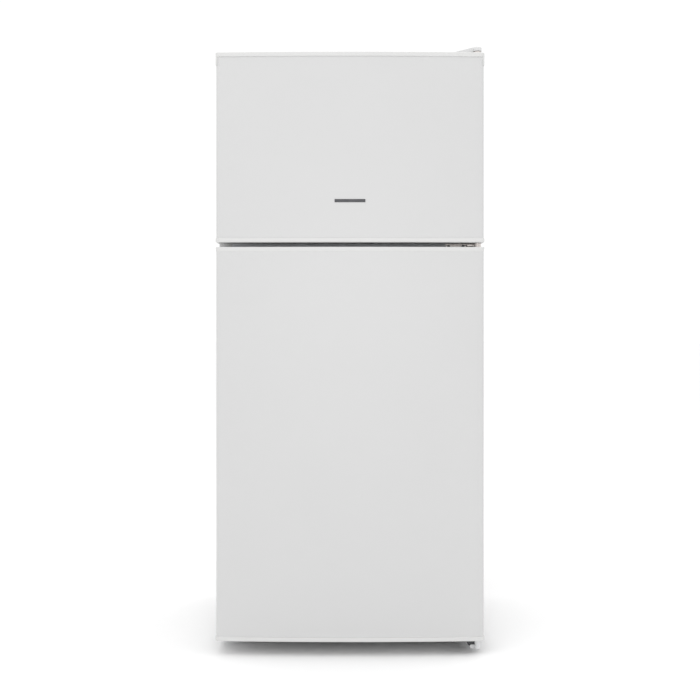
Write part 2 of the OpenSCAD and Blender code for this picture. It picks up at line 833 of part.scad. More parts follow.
// plan outline of a door: bowed front, round upright edges, flat back
module door_plan(grow, back) {
    r = door_edge_r + grow;
    big = bow_r + grow;
    cx = half_w - door_edge_r;
    cy = y_front + bow_r - sqrt(pow(bow_r - door_edge_r, 2) - cx * cx);
    tx = cx * big / (big - r);
    intersection() {
        translate([0, y_front + bow_r]) circle(r = big, $fn = 2400);
        union() {
            translate([-tx, y_front - 5]) square([2 * tx, back - y_front + 5]);
            translate([-half_w - grow, cy]) square([2 * (half_w + grow), back - cy]);
            for (s = [-1, 1]) translate([s * cx, cy]) circle(r = r, $fn = 64);
        }
    }
}

module door_solid(grow, back, z) {
    translate([0, 0, z[0]]) linear_extrude(z[1] - z[0]) door_plan(grow, back);
}

grip_h = 120;
grip_y = [y_door - 28, y_door - 6];
grip_in = 20;

module grip_cut(z, grow) {
    block([-half_w - 1, -half_w + grip_in + grow], [grip_y[0] - grow, grip_y[1] + grow],
        [z - grow, z + grip_h + grow]);
}

module skin(z, grip_z) {
    body = [z[0] + cap_h, z[1] - cap_h];
    color("white") difference() {
        union() {
            difference() {
                door_solid(0, y_door, body);
                door_solid(-sheet_t, y_door + 1, [body[0] - 1, body[1] + 1]);
            }
            mirror_x() block([lip_x, half_w - eps], [y_door - sheet_t, y_door], body);
        }
        grip_cut(grip_z, 0);
    }
}

module inner_panel(z, rim, bins) {
    body = [z[0] + cap_h, z[1] - cap_h];
    color("white") {
        difference() {
            union() {
                block([-lip_x, lip_x], [y_door - liner_t, y_door], body);
                frame_xz(dyke_x, rim, [y_door - eps, y_door + dyke_h], dyke_w);
            }
            frame_xz(dyke_x - liner_t, [rim[0] + liner_t, rim[1] - liner_t],
                [y_door - liner_t - 1, y_door + dyke_h - liner_t], dyke_w - 2 * liner_t);
        }
        for (b = bins) mirror_x()
            block([bin_x - 12, bin_x + seat + eps], [y_door - eps, y_door + 18], [b - 8, b]);
    }
}

module door_foam(z, rim, grip_z) {
    body = [z[0] + cap_h, z[1] - cap_h];
    color("khaki") difference() {
        union() {
            door_solid(-sheet_t, y_door - liner_t, body);
            frame_xz(dyke_x - liner_t, [rim[0] + liner_t, rim[1] - liner_t],
                [y_door - liner_t - eps, y_door + dyke_h - liner_t], dyke_w - 2 * liner_t);
        }
        grip_cut(grip_z, 2);
        at_hinge() {
            rod(socket_r, [z[0] - 1, z[0] + pin_in + 4]);
            rod(socket_r, [z[1] - pin_in - 4, z[1] + 1]);
        }
    }
}

bush_r = pin_d / 2 + 3;
socket_r = bush_r + 2.5;

// end cap: a proud lip with a socket for the hinge bush on its inner side
module end_cap(z_out, up) {
    s = up ? -1 : 1;
    lip = up ? [z_out - cap_h, z_out] : [z_out, z_out + cap_h];
    deep = up ? [z_out - pin_in - 4, z_out] : [z_out, z_out + pin_in + 4];
    bore = up ? [z_out - pin_in - 2, z_out + 1] : [z_out - 1, z_out + pin_in + 2];
    seam = up ? [lip[0], lip[0] + 1] : [lip[1] - 1, lip[1]];
    color("white") difference() {
        union() {
            difference() {
                door_solid(cap_proud, y_door, lip);
                difference() {
                    door_solid(cap_proud + 1, y_door + 1, seam);
                    door_solid(0, y_door + 2, [seam[0] - 1, seam[1] + 1]);
                }
            }
            intersection() {
                at_hinge() rod(socket_r, deep);
                block([0, half_w - sheet_t], [y_front, y_door], [deep[0] - 1, deep[1] + 1]);
            }
        }
        at_hinge() rod(bush_r, bore);
    }
}

module cap_tabs(top) {
    difference() {
        intersection() {
            door_solid(cap_proud, y_door, [top - tab_h, top - cap_h + eps]);
            mirror_x() block([half_w - 4, half_w + 9], [y_front, y_door + 1], [0, top]);
        }
        door_solid(0, y_door + 1, [top - tab_h - 1, top - cap_h + eps]);
    }
}

module gasket(z) {
    x = half_w - gasket_side;
    g = [z[0] + gasket_in, z[1] - gasket_in];
    head = y_face - seat;
    color("lightgray") {
        frame_xz(x, g, [head - 4, head], gasket_w);
        frame_xz(x - 3, [g[0] + 3, g[1] - 3], [y_door, head - 4 + eps], gasket_w - 6);
        frame_xz(x, g, [y_door, y_door + 2.5], gasket_w);
    }
}

module bush(z_out, up) {
    z = up ? [z_out - pin_in - 2, z_out] : [z_out, z_out + pin_in + 2];
    color("gray") at_hinge() difference() {
        rod(bush_r, z);
        rod(pin_d / 2 + run_fit, [z[0] - 1, z[1] + 1]);
    }
}

module grip(z) {
    color("gainsboro") difference() {
        block([-half_w - eps, -half_w + grip_in], grip_y, [z, z + grip_h]);
        block([-half_w - 1, -half_w + grip_in - 2], [grip_y[0] + 2, grip_y[1] - 2],
            [z + 2, z + grip_h - 2]);
    }
}

// open-topped door balcony
module balcony(z, h, d) {
    y = [y_door + seat / 3, y_door + d];
    color([0.86, 0.90, 0.93, 0.7]) {
        difference() {
            block([-bin_x, bin_x], y, [z, z + h]);
            block([-bin_x + bin_t, bin_x - bin_t], [y[0] + bin_t, y[1] - bin_t],
                [z + bin_t, z + h + 1]);
        }
        block([-bin_x, bin_x], [y[1] - bin_t - 1.5, y[1] + 1], [z + h - 4, z + h]);
    }
}

freezer_grip_z = freezer_door_z + 40;
fridge_grip_z = fridge_door_top - 40 - grip_h;
freezer_rim = [freezer_floor + rim_gap, freezer_roof - rim_gap];
fridge_rim = [fridge_floor + rim_gap, fridge_roof - rim_gap];
bin_low = rim_gap + dyke_w + 9;
freezer_bins = [freezer_floor + bin_low, freezer_floor + bin_low + 118];
fridge_bins = [fridge_floor + bin_low, fridge_floor + 400];
rack_h = 1.4 * bin_h;

module freezer_skin() {
    skin([freezer_door_z, freezer_door_top], freezer_grip_z);
}

module freezer_door_foam() {
    door_foam([freezer_door_z, freezer_door_top], freezer_rim, freezer_grip_z);
}

module freezer_inner_panel() {
    inner_panel([freezer_door_z, freezer_door_top], freezer_rim, freezer_bins);
}

module freezer_top_cap() {
    color("white") {
        end_cap(freezer_door_top, true);
        cap_tabs(freezer_door_top);
    }
}

module freezer_bottom_cap() {
    end_cap(freezer_door_z, false);
}

module freezer_gasket() {
    gasket([freezer_door_z, freezer_door_top]);
}

module freezer_bushes() {
    bush(freezer_door_z, false);
    bush(freezer_door_top, true);
}

module freezer_grip() {
    grip(freezer_grip_z);
}

module freezer_balcony_upper() {
    balcony(freezer_bins[1], bin_h * 0.8, bin_d);
}

module freezer_balcony_lower() {
    balcony(freezer_bins[0], bin_h * 0.8, bin_d);
}

module fridge_skin() {
    skin([door_z, fridge_door_top], fridge_grip_z);
}

module fridge_door_foam() {
    door_foam([door_z, fridge_door_top], fridge_rim, fridge_grip_z);
}

module fridge_inner_panel() {
    inner_panel([door_z, fridge_door_top], fridge_rim, fridge_bins);
}

module fridge_top_cap() {
    end_cap(fridge_door_top, true);
}

module fridge_bottom_cap() {
    end_cap(door_z, false);
}

module fridge_gasket() {
    gasket([door_z, fridge_door_top]);
}

module fridge_bushes() {
    bush(door_z, false);
    bush(fridge_door_top, true);
}

module fridge_grip() {
    grip(fridge_grip_z);
}

module balcony_upper() {
    balcony(fridge_bins[1], bin_h, bin_d);
}

module bottle_rack() {
    balcony(fridge_bins[0], rack_h, bin_d);
}

cabinet_shell();
back_panel();
base_pan();
cabinet_foam();
mullion_cover();
front_rail();
freezer_liner();
fridge_liner();
evaporator();
freezer_shelf();
shelf_upper();
shelf_lower();
crisper_cover();
shelf_trims();
crisper();
control_housing();
lamp_lens();
thermostat_knob();
switch_plunger();
compressor();
compressor_plate();
compressor_mounts();
starter_box();
drip_pan();
condenser_tube();
condenser_wires();
filter_drier();
refrigerant_lines();
rear_spacers();
top_hinge();
top_hinge_cover();
mid_hinge();
bottom_hinge();
hinge_screws();
hole_plugs();
foot(-1);  // foot_left
foot(1);  // foot_right
roller(-1);  // roller_left
roller(1);  // roller_right
roller_axles();
freezer_skin();
freezer_door_foam();
freezer_inner_panel();
freezer_top_cap();
freezer_bottom_cap();
freezer_gasket();
freezer_bushes();
freezer_grip();
freezer_balcony_upper();
freezer_balcony_lower();
fridge_skin();
fridge_door_foam();
fridge_inner_panel();
fridge_top_cap();
fridge_bottom_cap();
fridge_gasket();
fridge_bushes();
fridge_grip();
balcony_upper();
bottle_rack();
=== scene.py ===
"""Top freezer refrigerator: the looks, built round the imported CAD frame. All lengths are in metres."""

import json
import math

import bmesh
import bpy
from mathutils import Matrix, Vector


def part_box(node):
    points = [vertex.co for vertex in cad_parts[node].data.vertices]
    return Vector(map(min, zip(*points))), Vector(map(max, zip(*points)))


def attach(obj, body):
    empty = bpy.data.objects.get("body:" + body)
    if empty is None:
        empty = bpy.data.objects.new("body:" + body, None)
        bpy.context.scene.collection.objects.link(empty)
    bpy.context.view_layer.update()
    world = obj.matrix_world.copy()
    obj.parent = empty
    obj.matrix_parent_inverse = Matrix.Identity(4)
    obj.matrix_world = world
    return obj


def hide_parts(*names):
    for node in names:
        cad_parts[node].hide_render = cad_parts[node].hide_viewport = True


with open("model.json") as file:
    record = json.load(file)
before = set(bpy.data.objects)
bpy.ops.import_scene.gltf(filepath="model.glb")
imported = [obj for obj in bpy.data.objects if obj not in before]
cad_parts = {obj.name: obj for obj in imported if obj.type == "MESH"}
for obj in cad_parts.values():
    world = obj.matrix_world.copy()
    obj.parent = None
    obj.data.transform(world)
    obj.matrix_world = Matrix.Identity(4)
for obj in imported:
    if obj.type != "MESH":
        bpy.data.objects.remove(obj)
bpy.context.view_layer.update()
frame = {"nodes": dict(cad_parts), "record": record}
MM = 0.001

# ---------------------------------------------------------------- camera and studio

CAMERA_DISTANCE = 2.5
CAMERA_HEIGHT = 0.686
VIEW_WIDTH = 1.4107  # what the frame shows at the front of the doors
VIEW_CENTRE = 0.6167  # height of the frame's centre there
SENSOR = 36.0
WORLD_STRENGTH = 1.05
FLOOR_REACH = 30.0
FLOOR_TONE = 0.96
LIGHTS = (  # name, place, target, size, watts
    ("key", (-0.6, -1.9, 2.9), (0.0, -0.3, 1.0), (1.8, 1.2), 11.5),
    ("front", (0.0, -3.6, 0.8), (0.0, -0.3, 0.75), (1.4, 0.8), 7.0),
    ("top", (0.3, 0.2, 3.2), (0.0, 0.0, 1.0), (2.6, 2.6), 14.0))


def add_camera(front_y):
    data = bpy.data.cameras.new("camera")
    data.sensor_width = SENSOR
    data.lens = SENSOR * CAMERA_DISTANCE / VIEW_WIDTH
    data.shift_y = (VIEW_CENTRE - CAMERA_HEIGHT) / VIEW_WIDTH
    camera = bpy.data.objects.new("camera", data)
    camera.location = (0.0, front_y - CAMERA_DISTANCE, CAMERA_HEIGHT)
    camera.rotation_euler = (math.pi / 2, 0.0, 0.0)
    bpy.context.scene.collection.objects.link(camera)
    bpy.context.scene.camera = camera


def area_light(name, place, target, size, watts):
    data = bpy.data.lights.new(name, "AREA")
    data.shape = "RECTANGLE"
    data.size, data.size_y = size
    data.energy = watts
    light = bpy.data.objects.new(name, data)
    light.location = place
    aim = Vector(target) - Vector(place)
    light.rotation_euler = aim.to_track_quat("-Z", "Y").to_euler()
    bpy.context.scene.collection.objects.link(light)


def add_studio():
    world = bpy.data.worlds.new("studio")
    bpy.context.scene.world = world
    world.use_nodes = True
    tree = world.node_tree
    tree.nodes["Background"].inputs["Strength"].default_value = WORLD_STRENGTH
    tree.nodes["Background"].inputs["Color"].default_value = (1.0, 1.0, 1.0, 1.0)
    for light in LIGHTS:
        area_light(*light)
    add_floor()
    scene = bpy.context.scene
    scene.view_settings.view_transform = "Standard"
    scene.view_settings.look = "None"


def add_floor():
    mesh = bpy.data.meshes.new("floor")
    corners = ((-1, -1), (1, -1), (1, 1), (-1, 1))
    mesh.from_pydata([(x * FLOOR_REACH, y * FLOOR_REACH, 0) for x, y in corners],
                     [], [(0, 1, 2, 3)])
    floor = bpy.data.objects.new("floor", mesh)
    bpy.context.scene.collection.objects.link(floor)
    paint = bpy.data.materials.new("floor_pale")
    paint.use_nodes = True
    shader = paint.node_tree.nodes["Principled BSDF"]
    shader.inputs["Base Color"].default_value = (FLOOR_TONE, FLOOR_TONE, FLOOR_TONE, 1.0)
    shader.inputs["Roughness"].default_value = 0.9
    floor.data.materials.append(paint)


# ---------------------------------------------------------------- materials

MATERIALS = {}
SPANGLES_PER_PATCH = 8
BUMP_DEPTH = 0.0004
COAT_ROUGHNESS = 0.12


def node(tree, kind, **inputs):
    made = tree.nodes.new(kind)
    for key, value in inputs.items():
        made.inputs[key].default_value = value
    return made


def coordinates(tree, stretch):
    place = tree.nodes.new("ShaderNodeTexCoord")
    mapping = node(tree, "ShaderNodeMapping", Scale=stretch)
    tree.links.new(place.outputs["Object"], mapping.inputs["Vector"])
    return mapping.outputs["Vector"]


def noise(tree, where, scale, detail=3.0):
    made = node(tree, "ShaderNodeTexNoise", Scale=scale, Detail=detail)
    tree.links.new(where, made.inputs["Vector"])
    return made.outputs["Fac"]


def spread(tree, value, low, high):
    """Stretches a noise's usual values over a range."""
    made = tree.nodes.new("ShaderNodeMapRange")
    made.inputs["From Min"].default_value = 0.3
    made.inputs["From Max"].default_value = 0.7
    made.inputs["To Min"].default_value = low
    made.inputs["To Max"].default_value = high
    tree.links.new(value, made.inputs["Value"])
    return made.outputs["Result"]


def blend_colours(tree, factor, dark, light):
    made = tree.nodes.new("ShaderNodeMix")
    made.data_type = "RGBA"
    made.inputs["A"].default_value = (*dark, 1.0)
    made.inputs["B"].default_value = (*light, 1.0)
    tree.links.new(factor, made.inputs["Factor"])
    return made.outputs["Result"]


def shade(colour, amount):
    """A colour made lighter or darker by a share."""
    return tuple(min(1.0, max(0.0, c * (1.0 + amount))) for c in colour)


def surface(name, colour, rough, metal=0.0, vary=0.02, patch=9.0, grain=900.0, bump=0.06,
            stretch=(1.0, 1.0, 1.0), coat=0.0, pattern="noise", clear=0.0, alpha=1.0, ior=1.5):
    """A procedural finish: patchy colour, uneven roughness and a fine bump."""
    made = bpy.data.materials.new(name)
    made.use_nodes = True
    tree = made.node_tree
    shader = tree.nodes["Principled BSDF"]
    where = coordinates(tree, stretch)
    patches = noise(tree, where, patch)
    if pattern == "spangle":
        cells = node(tree, "ShaderNodeTexVoronoi", Scale=patch * SPANGLES_PER_PATCH)
        tree.links.new(where, cells.inputs["Vector"])
        patches = cells.outputs["Distance"]
    factor = spread(tree, patches, 0.0, 1.0)
    tone = blend_colours(tree, factor, shade(colour, -vary), shade(colour, vary))
    tree.links.new(tone, shader.inputs["Base Color"])
    uneven = spread(tree, noise(tree, where, patch * 4), rough * 0.96, min(1.0, rough * 1.04))
    tree.links.new(uneven, shader.inputs["Roughness"])
    relief = tree.nodes.new("ShaderNodeBump")
    relief.inputs["Strength"].default_value = bump
    relief.inputs["Distance"].default_value = BUMP_DEPTH
    tree.links.new(noise(tree, where, grain, 2.0), relief.inputs["Height"])
    tree.links.new(relief.outputs["Normal"], shader.inputs["Normal"])
    shader.inputs["Metallic"].default_value = metal
    shader.inputs["IOR"].default_value = ior
    shader.inputs["Coat Weight"].default_value = coat
    shader.inputs["Coat Roughness"].default_value = COAT_ROUGHNESS
    shader.inputs["Transmission Weight"].default_value = clear
    shader.inputs["Alpha"].default_value = alpha
    MATERIALS[name] = made
    return made


def make_materials():
    """One finish for each of the record's material slots."""
    surface("door_paint", (0.575, 0.575, 0.575), 0.34, grain=620.0, bump=0.035, vary=0.004)
    surface("cabinet_paint", (0.585, 0.585, 0.585), 0.40, grain=420.0, bump=0.07, vary=0.006)
    surface("cap_plastic", (0.615, 0.615, 0.61), 0.38, grain=1500.0, bump=0.05, vary=0.006)
    surface("cover_plastic", (0.64, 0.64, 0.64), 0.42, grain=1400.0, bump=0.07, vary=0.008)
    surface("plug_plastic", (0.66, 0.66, 0.67), 0.42, grain=1400.0, bump=0.07, vary=0.015)
    surface("liner_plastic", (0.66, 0.67, 0.67), 0.30, grain=260.0, bump=0.03, vary=0.004)
    surface("white_plastic", (0.66, 0.66, 0.66), 0.36, grain=1200.0, bump=0.06, vary=0.006)
    surface("knob_plastic", (0.36, 0.37, 0.39), 0.34, grain=1600.0, bump=0.08, vary=0.02)
    surface("grey_plastic", (0.34, 0.35, 0.36), 0.52, grain=1100.0, bump=0.12, vary=0.03)
    surface("black_plastic", (0.020, 0.020, 0.022), 0.52, grain=900.0, bump=0.2, vary=0.12)
    surface("rubber", (0.028, 0.028, 0.029), 0.8, grain=700.0, bump=0.25, vary=0.12)
    surface("gasket_rubber", (0.58, 0.59, 0.60), 0.58, grain=900.0, bump=0.1, vary=0.02)
    surface("grey_paint", (0.71, 0.725, 0.755), 0.5, grain=500.0, bump=0.1, vary=0.03)
    # dark_steel, the bottom hinge bracket: partly its own dark paint, partly painted shade standing for
    # the shadow beneath the fridge door
    surface("dark_steel", (0.06, 0.06, 0.065), 0.44, grain=600.0, bump=0.15, vary=0.06)
    surface("black_steel", (0.014, 0.014, 0.016), 0.38, grain=500.0, bump=0.15, vary=0.15)
    surface("galvanised", (0.50, 0.51, 0.52), 0.45, metal=0.9, patch=11.0, grain=300.0,
            bump=0.06, vary=0.035, pattern="spangle")
    surface("zinc_steel", (0.70, 0.655, 0.63), 0.42, metal=0.7, patch=30.0, grain=500.0,
            stretch=(1.0, 0.2, 1.0), bump=0.12, vary=0.06)
    surface("screw_steel", (0.09, 0.09, 0.095), 0.38, metal=0.8, patch=60.0, bump=0.15, vary=0.1)
    surface("aluminium_sheet", (0.70, 0.71, 0.72), 0.36, metal=1.0, grain=500.0,
            stretch=(0.1, 1.0, 1.0), bump=0.1, vary=0.03)
    surface("copper", (0.68, 0.33, 0.20), 0.34, metal=1.0, patch=24.0, grain=500.0, bump=0.08,
            vary=0.16)
    surface("coated_wire", (0.66, 0.66, 0.66), 0.32, grain=800.0, bump=0.04, vary=0.006)
    surface("foam", (0.70, 0.60, 0.36), 0.9, patch=40.0, grain=350.0, bump=0.6, vary=0.08)
    surface("shelf_glass", (0.62, 0.80, 0.74), 0.06, bump=0.005, vary=0.01, alpha=0.30, ior=1.5)
    surface("clear_plastic", (0.76, 0.80, 0.83), 0.16, grain=500.0, bump=0.02, vary=0.01,
            alpha=0.40, ior=1.5)
    surface("lens_plastic", (0.76, 0.76, 0.74), 0.32, grain=220.0, bump=0.4, vary=0.01,
            alpha=0.85)


# ---------------------------------------------------------------- mesh tools

SMOOTH_ANGLE = math.radians(32.0)
MERGE_DISTANCE = 1e-6


def finish_mesh(name, shape, material, body, stands_for=(), facing=None):
    """Turns a bmesh into a piece that rides on a body and may stand for CAD nodes."""
    bmesh.ops.remove_doubles(shape, verts=shape.verts, dist=MERGE_DISTANCE)
    bmesh.ops.recalc_face_normals(shape, faces=shape.faces)
    if facing:
        largest = max(shape.faces, key=lambda face: face.calc_area())
        if largest.normal.dot(Vector(facing)) < 0:
            bmesh.ops.reverse_faces(shape, faces=shape.faces)
    mesh = bpy.data.meshes.new(name)
    shape.to_mesh(mesh)
    shape.free()
    smooth(mesh)
    mesh.materials.append(MATERIALS[material])
    piece = bpy.data.objects.new(name, mesh)
    bpy.context.scene.collection.objects.link(piece)
    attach(piece, body)
    if stands_for:
        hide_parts(*stands_for)
    return piece


def smooth(mesh):
    for face in mesh.polygons:
        face.use_smooth = True
    mesh.set_sharp_from_angle(angle=SMOOTH_ANGLE)


def bake(piece):
    """Applies a piece's modifiers to its mesh."""
    bpy.context.view_layer.update()
    graph = bpy.context.evaluated_depsgraph_get()
    made = bpy.data.meshes.new_from_object(piece.evaluated_get(graph))
    piece.modifiers.clear()
    piece.data = made


def set_wall(piece, thickness):
    """Thickens an open surface behind its visible side."""
    wall = piece.modifiers.new("wall", "SOLIDIFY")
    wall.thickness = thickness
    wall.offset = -1.0
    wall.use_even_offset = True
    bake(piece)
    smooth(piece.data)


def extend(piece, extra):
    """Adds more shells to a piece's mesh."""
    bmesh.ops.remove_doubles(extra, verts=extra.verts, dist=MERGE_DISTANCE)
    bmesh.ops.recalc_face_normals(extra, faces=extra.faces)
    part = bpy.data.meshes.new("extra")
    extra.to_mesh(part)
    extra.free()
    shape = bmesh.new()
    shape.from_mesh(piece.data)
    shape.from_mesh(part)
    shape.to_mesh(piece.data)
    shape.free()
    bpy.data.meshes.remove(part)
    smooth(piece.data)


def loft(shape, rings, closed=True, looped=False, cap_start=False, cap_end=False):
    """Skins a list of point rings; open rings get flat ends when the loft is looped."""
    rows = [[shape.verts.new(p) for p in ring] for ring in rings]
    count = len(rows[0])
    spans = range(count if closed else count - 1)
    pairs = list(zip(rows, rows[1:] + rows[:1])) if looped else list(zip(rows, rows[1:]))
    for low, high in pairs:
        for i in spans:
            k = (i + 1) % count
            shape.faces.new((low[i], low[k], high[k], high[i]))
    if looped and not closed:
        shape.faces.new([row[0] for row in rows])
        shape.faces.new([row[-1] for row in rows])
    if cap_start:
        shape.faces.new(rows[0])
    if cap_end:
        shape.faces.new(rows[-1])
    return shape


def place(plane, u, v, w):
    """A point from its two places in a plane and its depth across it."""
    return {"xz": (u, w, v), "xy": (u, v, w), "yz": (w, u, v)}[plane]


def round_rect(plane, span_u, span_v, w, radius, steps=6):
    """Rounded rectangle in a plane at depth w."""
    u0, u1 = span_u
    v0, v1 = span_v
    radius = min(radius, (u1 - u0) / 2.001, (v1 - v0) / 2.001)
    corners = ((u1 - radius, v0 + radius, -90), (u1 - radius, v1 - radius, 0),
               (u0 + radius, v1 - radius, 90), (u0 + radius, v0 + radius, 180))
    ring = []
    for cu, cv, start in corners:
        for i in range(steps + 1):
            turn = math.radians(start + 90 * i / steps)
            ring.append(place(plane, cu + radius * math.cos(turn),
                              cv + radius * math.sin(turn), w))
    return ring


def grown(span, amount):
    """A span made longer at both ends."""
    return (span[0] - amount, span[1] + amount)


def arc(centre, radius, start, end, steps):
    """Points on an arc in a plane, angles in degrees."""
    return [(centre[0] + radius * math.cos(math.radians(start + (end - start) * i / steps)),
             centre[1] + radius * math.sin(math.radians(start + (end - start) * i / steps)))
            for i in range(steps + 1)]


def rect_stack(plane, span_u, span_v, profile, radius, steps=6):
    """Rings of one rounded rectangle, each offset outwards by a profile of (offset, depth)."""
    return [round_rect(plane, grown(span_u, off), grown(span_v, off), depth,
                       max(0.0004, radius + off), steps)
            for off, depth in profile]


def soft_block(shape, low, high, radius, steps=3):
    """A box with all its edges rounded."""
    radius = min([radius] + [(b - a) / 2.05 for a, b in zip(low, high)])
    bottom = arc((0, 0), radius, 270, 360, steps)
    profile = [(x - radius, y + radius) for x, y in bottom]
    tall = high[2] - low[2]
    profile += [(off, tall - depth) for off, depth in reversed(profile)]
    rings = [round_rect("xy", (low[0] - off, high[0] + off), (low[1] - off, high[1] + off),
                        low[2] + depth, max(0.00005, radius + off), steps)
             for off, depth in profile]
    loft(shape, rings, cap_start=True, cap_end=True)


def lathe(shape, profile, centre, axis="z", steps=48, looped=False):
    """Turns a profile of (radius, distance along the axis) round a line."""
    rings = []
    for radius, along in profile:
        ring = []
        for i in range(steps):
            turn = 2 * math.pi * i / steps
            u, v = radius * math.cos(turn), radius * math.sin(turn)
            offset = {"z": (u, v, along), "y": (u, along, v), "x": (along, u, v)}[axis]
            ring.append(tuple(c + o for c, o in zip(centre, offset)))
        rings.append(ring)
    loft(shape, rings, looped=looped, cap_start=not looped, cap_end=not looped)


def bend_path(points, radius, steps=6):
    """A route with its corners rounded to a bend radius."""
    route = [Vector(points[0])]
    for before, corner, after in zip(points, points[1:], points[2:]):
        before, corner, after = Vector(before), Vector(corner), Vector(after)
        into, out = (corner - before).normalized(), (after - corner).normalized()
        reach = min(radius, (corner - before).length / 2, (after - corner).length / 2)
        start, end = corner - into * reach, corner + out * reach
        for i in range(steps + 1):
            t = i / steps
            route.append(start.lerp(corner, t).lerp(corner.lerp(end, t), t))
    route.append(Vector(points[-1]))
    return route


def tube(shape, points, radius, bend, steps=12):
    """A round pipe along a route, its rings carried along without twist."""
    route = bend_path(points, bend)
    side = None
    rings = []
    for i, spot in enumerate(route):
        ahead = route[min(i + 1, len(route) - 1)] - route[max(i - 1, 0)]
        ahead.normalize()
        if side is None:
            side = ahead.orthogonal().normalized()
        side = (side - ahead * side.dot(ahead)).normalized()
        up = ahead.cross(side)
        rings.append([tuple(spot + radius * (side * math.cos(2 * math.pi * k / steps)
                                             + up * math.sin(2 * math.pi * k / steps)))
                      for k in range(steps)])
    loft(shape, rings, cap_start=True, cap_end=True)


def cut(piece, cutters):
    """Cuts closed shapes out of a piece."""
    for shape in cutters:
        bmesh.ops.recalc_face_normals(shape, faces=shape.faces)
        mesh = bpy.data.meshes.new("cutter")
        shape.to_mesh(mesh)
        shape.free()
        tool = bpy.data.objects.new("cutter", mesh)
        bpy.context.scene.collection.objects.link(tool)
        step = piece.modifiers.new("cut", "BOOLEAN")
        step.object = tool
        step.solver = "EXACT"
        bake(piece)
        bpy.data.objects.remove(tool)
        bpy.data.meshes.remove(mesh)
    smooth(piece.data)


# ---------------------------------------------------------------- doors

DOOR_BOW = 8 * MM
DOOR_EDGE_R = 6 * MM
CAP_PROUD = 1.5 * MM
SKIN_T = 1 * MM
GRIP_R = 6 * MM  # corner radius of the hand grips
TAB_H = 26 * MM  # from the top of the freezer door to the lower end of its side tabs
SOCKET_DEPTH = 24 * MM  # of the hinge bush's socket in an end cap
SOCKET_WALL = 2.5 * MM
BINS = {"freezer": ("freezer_balcony_lower", "freezer_balcony_upper"),
        "fridge": ("bottle_rack", "balcony_upper")}
CAPS = (  # door, end, nose (width, height), radius at the seam
    ("freezer", "top", (1.6 * MM, 1.6 * MM), 0.8 * MM),
    ("freezer", "bottom", (2.3 * MM, 3.3 * MM), 1.3 * MM),
    ("fridge", "top", (1.3 * MM, 1.3 * MM), 0.0),
    ("fridge", "bottom", (1.8 * MM, 1.9 * MM), 1.3 * MM))
RAILS = (  # bin, door, rail levels as shares of the bin's height
    ("freezer_balcony_upper", "freezer_door", (0.86,)),
    ("freezer_balcony_lower", "freezer_door", (0.86,)),
    ("balcony_upper", "fridge_door", (0.89,)),
    ("bottle_rack", "fridge_door", (0.92, 0.55)))
RIM_HALF = 203 * MM
RIM_GAP = 12 * MM  # rim of an inner panel to the compartment's walls
FRIDGE_Z = (82 * MM, 798.85 * MM)
FREEZER_Z = (858.85 * MM, 1164 * MM)
COMPARTMENT_Z = {"fridge": FRIDGE_Z, "freezer": FREEZER_Z}


def middle_of(name):
    low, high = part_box(name)
    return (low + high) / 2


HINGE = middle_of("freezer_bushes")
BUSH_R = (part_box("freezer_bushes")[1].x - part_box("freezer_bushes")[0].x) / 2


def door_facts(prefix):
    """The main planes and levels of a door, read from its CAD nodes."""
    low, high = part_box(f"{prefix}_skin")
    return {
        "half": high.x, "front": low.y, "back": high.y, "body": (low.z, high.z),
        "z": (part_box(f"{prefix}_bottom_cap")[0].z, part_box(f"{prefix}_top_cap")[1].z),
    }


def door_plan(door, grow, steps=56):
    """Plan outline from the right back corner, round the bowed front, to the left back."""
    half, front, back = door["half"], door["front"], door["back"]
    bow = (half * half + DOOR_BOW * DOOR_BOW) / (2 * DOOR_BOW)
    cx = half - DOOR_EDGE_R
    middle = front + bow
    cy = middle - math.sqrt((bow - DOOR_EDGE_R) ** 2 - cx * cx)
    turn = math.degrees(math.atan2(cy - middle, cx))
    right = arc((cx, cy), DOOR_EDGE_R + grow, 0, turn, 8)
    face = arc((0, middle), bow + grow, turn, -180 - turn, steps)
    left = arc((-cx, cy), DOOR_EDGE_R + grow, -180 - turn, -180, 8)
    return [(half + grow, back)] + right + face[1:-1] + left + [(-half - grow, back)]


def at_level(outline, z):
    return [(x, y, z) for x, y in outline]


def skin_outline(door, inset):
    """The painted sheet's outline, with its folded edges at the back of the door."""
    fold = 1.4 * MM
    half, back = door["half"], door["back"]
    lip = half - 17 * MM
    start = arc((half - fold, back - fold), fold - inset, 90, 0, 4)
    end = [(-x, y) for x, y in reversed(start)]
    return ([(lip, back - inset)] + start + door_plan(door, -inset)[1:-1] + end
            + [(-lip, back - inset)])


def build_skin(prefix, body):
    door = door_facts(prefix)
    z0, z1 = door["body"]
    outer, inner = skin_outline(door, 0), skin_outline(door, SKIN_T)
    shape = bmesh.new()
    loft(shape, [at_level(outer, z0), at_level(outer, z1), at_level(inner, z1),
                 at_level(inner, z0)], closed=False, looped=True)
    piece = finish_mesh(f"{prefix}_door_skin", shape, "door_paint", body, [f"{prefix}_skin"])
    low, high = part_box(f"{prefix}_grip")
    hole = bmesh.new()
    loft(hole, [round_rect("yz", (low.y, high.y), (low.z, high.z), x, GRIP_R)
                for x in (low.x - 4 * MM, low.x + 8 * MM)], cap_start=True, cap_end=True)
    cut(piece, [hole])


def cap_profile(tall, nose, foot):
    """(growth, height) of an end cap's edge, from the seam to its outer face."""
    wide, high = nose
    lower = arc((CAP_PROUD - foot, foot), foot, -90, 0, 4)
    if not foot:
        lower = [(0.15 * MM, 0.0), (0.4 * MM, 1.2 * MM)]
    upper = [(CAP_PROUD - wide * (1 - math.cos(a)), tall - high * (1 - math.sin(a)))
             for a in (math.radians(15 * k) for k in range(7))]
    return [(-2 * MM, 0.0)] + lower + upper


